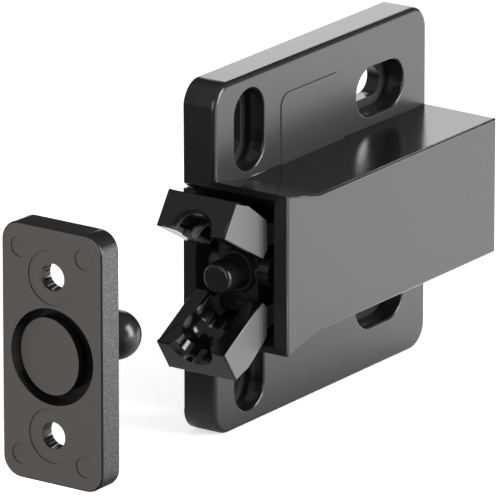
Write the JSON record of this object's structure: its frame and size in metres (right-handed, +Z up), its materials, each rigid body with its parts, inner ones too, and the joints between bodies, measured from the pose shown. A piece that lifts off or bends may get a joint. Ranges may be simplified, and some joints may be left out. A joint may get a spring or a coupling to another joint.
{
  "type": "touch latch",
  "caption": "Push-to-open cabinet latch: a slotted mounting plate with a box whose two open jaws close on the ball stud of a separate strike plate when the door is pressed.",
  "frame": {"origin": "on the mounting plate's back face, the face that lies on the cabinet, in the middle of its length and at the height of the latch's axis", "axes": "+X out of the mounting plate, +Y along the latch from the jaws to the rear, +Z up"},
  "size_m": [0.0173, 0.0942, 0.05],
  "materials": {
    "housing_plastic": "fine moulded grain",
    "jaw_plastic": "smooth moulded",
    "carriage_plastic": "smooth moulded",
    "plunger_plastic": "smooth moulded",
    "strike_plastic": "fine moulded grain",
    "stud_plastic": "smooth moulded",
    "spring_steel": "drawn wire",
    "pin_steel": "ground",
    "screw_steel": "blackened"
  },
  "bodies": {
    "latch_body": {"housing": "housing_plastic", "back_cover": "housing_plastic", "cover_screw_1": "screw_steel", "cover_screw_2": "screw_steel", "cover_screw_3": "screw_steel", "cover_screw_4": "screw_steel", "cam_follower": "pin_steel", "follower_pivot": "pin_steel", "spring_guide": "pin_steel", "main_spring": "spring_steel"},
    "carriage_body": {"carriage": "carriage_plastic", "plunger_pin": "pin_steel", "plunger_spring": "spring_steel", "upper_jaw_pin": "pin_steel", "lower_jaw_pin": "pin_steel"},
    "plunger_body": {"plunger": "plunger_plastic"},
    "upper_jaw_body": {"upper_jaw": "jaw_plastic", "upper_jaw_spring": "spring_steel"},
    "lower_jaw_body": {"lower_jaw": "jaw_plastic", "lower_jaw_spring": "spring_steel"},
    "strike_body": {"strike_plate": "strike_plastic"},
    "stud_body": {"ball_stud": "stud_plastic"}
  },
  "joints": [
    {"name": "carriage_slide", "type": "slide", "parent": "latch_body", "child": "carriage_body", "axis": [0, 1, 0], "range_m": [0, 0.0105], "stiffness_N_per_m": 600, "springref_m": -0.01, "deforming": ["main_spring"]},
    {"name": "plunger_slide", "type": "slide", "parent": "carriage_body", "child": "plunger_body", "axis": [0, 1, 0], "range_m": [0, 0.0026], "stiffness_N_per_m": 250, "springref_m": -0.004, "deforming": ["plunger_spring"]},
    {"name": "upper_jaw_hinge", "type": "hinge", "parent": "carriage_body", "child": "upper_jaw_body", "pos_m": [0.008, -0.02025, 0.0046], "axis": [1, 0, 0], "range_deg": [0, 30]},
    {"name": "lower_jaw_hinge", "type": "hinge", "parent": "carriage_body", "child": "lower_jaw_body", "pos_m": [0.008, -0.02025, -0.0046], "axis": [-1, 0, 0], "range_deg": [0, 30]},
    {"name": "strike_travel", "type": "slide", "parent": "latch_body", "child": "strike_body", "axis": [0, 1, 0], "range_m": [0, 0.0216]},
    {"name": "ball_stud_tilt", "type": "hinge", "parent": "strike_body", "child": "stud_body", "pos_m": [0.008, -0.06705, -0.0007], "axis": [0, 0, 1], "range_deg": [0, 16]}
  ],
  "couplings": [
    {"joint": "upper_jaw_hinge", "follows": "carriage_slide", "rad_per_m": 49.86},
    {"joint": "lower_jaw_hinge", "follows": "carriage_slide", "rad_per_m": 49.86}
  ]
}
